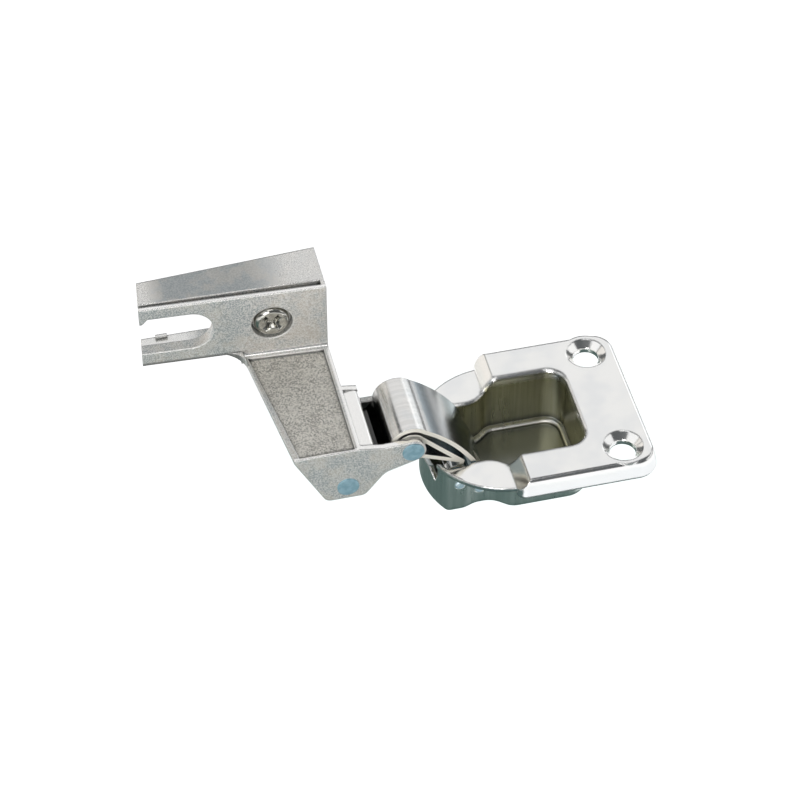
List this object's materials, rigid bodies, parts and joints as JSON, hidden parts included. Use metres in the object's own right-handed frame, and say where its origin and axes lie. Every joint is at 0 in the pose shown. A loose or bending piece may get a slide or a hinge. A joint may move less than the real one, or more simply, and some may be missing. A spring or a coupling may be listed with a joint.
{
  "type": "flap hinge",
  "caption": "Concealed flap hinge: a pressed cup with a raised screw flange, joined by two links on pins to a cranked cast arm with a slotted side-mounting channel.",
  "frame": {"origin": "centre of the cup's round bore on the flap's face, with the flap open at a right angle", "axes": "+Z out of the open flap's inner face, +X along the flap away from the arm, +Y along the pivot pins towards the cabinet side"},
  "size_m": [0.1013, 0.0547, 0.0408],
  "materials": {
    "cast_nickel": "grainy matte nickel plate on a zinc casting",
    "bright_nickel": "bright nickel plate on pressed steel",
    "link_steel": "smooth nickel-plated strip steel",
    "pin_zinc": "satin blue zinc plate",
    "screw_steel": "nickel-plated steel"
  },
  "bodies": {
    "arm": {"hinge_arm": "cast_nickel", "arm_pin_outer": "pin_zinc", "arm_pin_inner": "pin_zinc"},
    "screw": {"adjusting_screw": "screw_steel"},
    "outer_link": {"outer_link": "link_steel"},
    "inner_link": {"inner_link": "link_steel"},
    "cup": {"hinge_cup": "bright_nickel", "cup_pin_near": "pin_zinc", "cup_pin_far": "pin_zinc"}
  },
  "joints": [
    {"name": "outer_link_swing", "type": "hinge", "parent": "arm", "child": "outer_link", "pos_m": [-0.0355, 0, 0.0015], "axis": [0, -1, 0], "range_deg": [0, 18.9]},
    {"name": "cup_swing", "type": "hinge", "parent": "outer_link", "child": "cup", "pos_m": [-0.007, 0, -0.0068], "axis": [0, -1, 0], "range_deg": [0, 71.1]},
    {"name": "inner_link_swing", "type": "hinge", "parent": "arm", "child": "inner_link", "pos_m": [-0.0216, 0, 0.0085], "axis": [0, -1, 0], "range_deg": [0, 8.55]},
    {"name": "screw_turn", "type": "hinge", "parent": "arm", "child": "screw", "pos_m": [-0.0443, 0.02266, 0.0203], "axis": [-0.0482, -0.9988, 0], "continuous": true}
  ],
  "couplings": [
    {"joint": "outer_link_swing", "follows": "cup_swing", "ratio": 0.26582},
    {"joint": "inner_link_swing", "follows": "cup_swing", "ratio": 0.12025}
  ]
}
